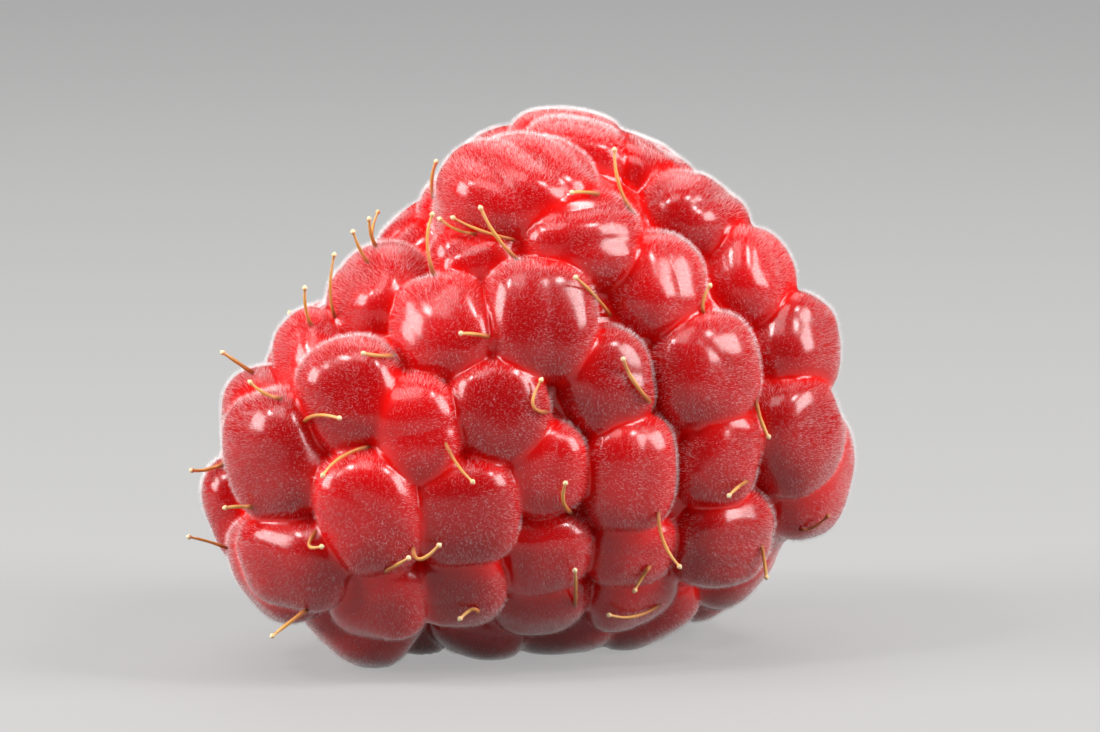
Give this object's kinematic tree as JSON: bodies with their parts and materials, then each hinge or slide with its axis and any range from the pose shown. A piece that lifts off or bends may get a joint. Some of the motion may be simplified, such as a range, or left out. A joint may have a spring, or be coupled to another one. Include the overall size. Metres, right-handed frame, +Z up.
{
  "type": "raspberry",
  "caption": "Ripe raspberry lying on its side as picked, drupelets grown together around an open picking hollow, with dried styles.",
  "frame": {"origin": "under the middle of the fruit's box, on the surface that it rests on", "axes": "+X from the blunt tip towards the stem end, +Y away from the side the picture shows, +Z up"},
  "size_m": [0.0202, 0.0182, 0.0167],
  "materials": {
    "skin": null,
    "dried_style": null
  },
  "bodies": {
    "root": {"drupelets": "skin", "style_01": "dried_style", "style_02": "dried_style", "style_03": "dried_style", "style_04": "dried_style", "style_05": "dried_style", "style_06": "dried_style", "style_07": "dried_style", "style_08": "dried_style", "style_09": "dried_style", "style_10": "dried_style", "style_11": "dried_style", "style_12": "dried_style", "style_13": "dried_style", "style_14": "dried_style", "style_15": "dried_style", "style_16": "dried_style", "style_17": "dried_style", "style_18": "dried_style", "style_19": "dried_style", "style_20": "dried_style", "style_21": "dried_style", "style_22": "dried_style", "style_23": "dried_style", "style_24": "dried_style", "style_25": "dried_style", "style_26": "dried_style", "style_27": "dried_style", "style_28": "dried_style", "style_29": "dried_style", "style_30": "dried_style", "style_31": "dried_style", "style_32": "dried_style", "style_33": "dried_style", "style_34": "dried_style", "style_35": "dried_style", "style_36": "dried_style", "style_37": "dried_style", "style_38": "dried_style", "style_39": "dried_style", "style_40": "dried_style", "style_41": "dried_style", "style_42": "dried_style", "style_43": "dried_style", "style_44": "dried_style", "style_45": "dried_style", "style_46": "dried_style", "style_47": "dried_style", "style_48": "dried_style", "style_49": "dried_style", "style_50": "dried_style", "style_51": "dried_style"}
  },
  "joints": []
}
